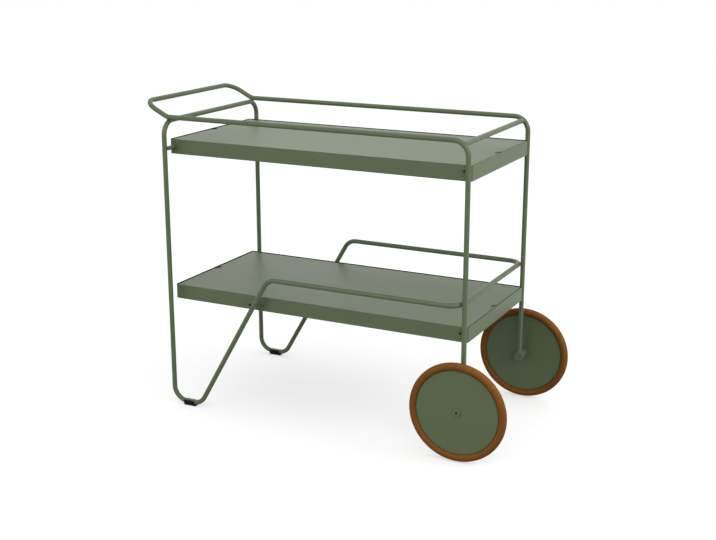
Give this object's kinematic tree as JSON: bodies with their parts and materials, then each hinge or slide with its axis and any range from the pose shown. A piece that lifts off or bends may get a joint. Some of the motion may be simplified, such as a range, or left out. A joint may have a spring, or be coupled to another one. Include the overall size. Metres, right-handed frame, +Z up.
{
  "type": "serving trolley",
  "caption": "Bent-tube serving trolley with stacked sheet trays, hairpin legs on rubber pads, a raised push handle and large plain disc wheels at the far end.",
  "frame": {"origin": "on the floor, under the middle of the overall length and width", "axes": "+X along the length towards the wheels, -Y towards the front long side, +Z up"},
  "size_m": [1.0308, 0.5018, 0.8161],
  "materials": {
    "frame_paint": "satin powder coat",
    "tray_paint": "satin powder coat",
    "panel_paint": "satin powder coat",
    "wheel_paint": "satin powder coat",
    "tyre_rubber": "matt",
    "pad_rubber": "matt",
    "dark_steel": "black oxide",
    "zinc_steel": "zinc plated",
    "bush_plastic": "matt",
    "bare_steel": "drawn"
  },
  "bodies": {
    "frame": {"front_leg_tube": "frame_paint", "back_leg_tube": "frame_paint", "front_rail_tube": "frame_paint", "back_rail_tube": "frame_paint", "tube_spigots": "bare_steel", "end_crossbar": "frame_paint", "weld_beads": "frame_paint", "front_axle_boss": "frame_paint", "back_axle_boss": "frame_paint", "front_foot_pad": "pad_rubber", "back_foot_pad": "pad_rubber", "upper_tray_frame": "tray_paint", "lower_tray_frame": "tray_paint", "upper_tray_lugs": "frame_paint", "lower_tray_lugs": "frame_paint", "leg_standoffs": "frame_paint", "lug_screws": "dark_steel", "lug_nuts": "zinc_steel", "front_axle_bolt": "wheel_paint", "front_axle_washer": "zinc_steel", "back_axle_bolt": "wheel_paint", "back_axle_washer": "zinc_steel"},
    "upper_panel": {"upper_tray_panel": "panel_paint"},
    "lower_panel": {"lower_tray_panel": "panel_paint"},
    "front_wheel": {"front_wheel_disc": "wheel_paint", "front_tyre": "tyre_rubber", "front_wheel_hub": "wheel_paint", "front_hub_bushes": "bush_plastic"},
    "back_wheel": {"back_wheel_disc": "wheel_paint", "back_tyre": "tyre_rubber", "back_wheel_hub": "wheel_paint", "back_hub_bushes": "bush_plastic"}
  },
  "joints": [
    {"name": "front_wheel_spin", "type": "hinge", "parent": "frame", "child": "front_wheel", "pos_m": [0.3904, -0.2405, 0.125], "axis": [0, 1, 0], "continuous": true},
    {"name": "back_wheel_spin", "type": "hinge", "parent": "frame", "child": "back_wheel", "pos_m": [0.3904, 0.2405, 0.125], "axis": [0, 1, 0], "continuous": true},
    {"name": "upper_panel_lift", "type": "slide", "parent": "frame", "child": "upper_panel", "axis": [0, 0, 1], "range_m": [0, 0.035]},
    {"name": "lower_panel_lift", "type": "slide", "parent": "frame", "child": "lower_panel", "axis": [0, 0, 1], "range_m": [0, 0.045]}
  ]
}
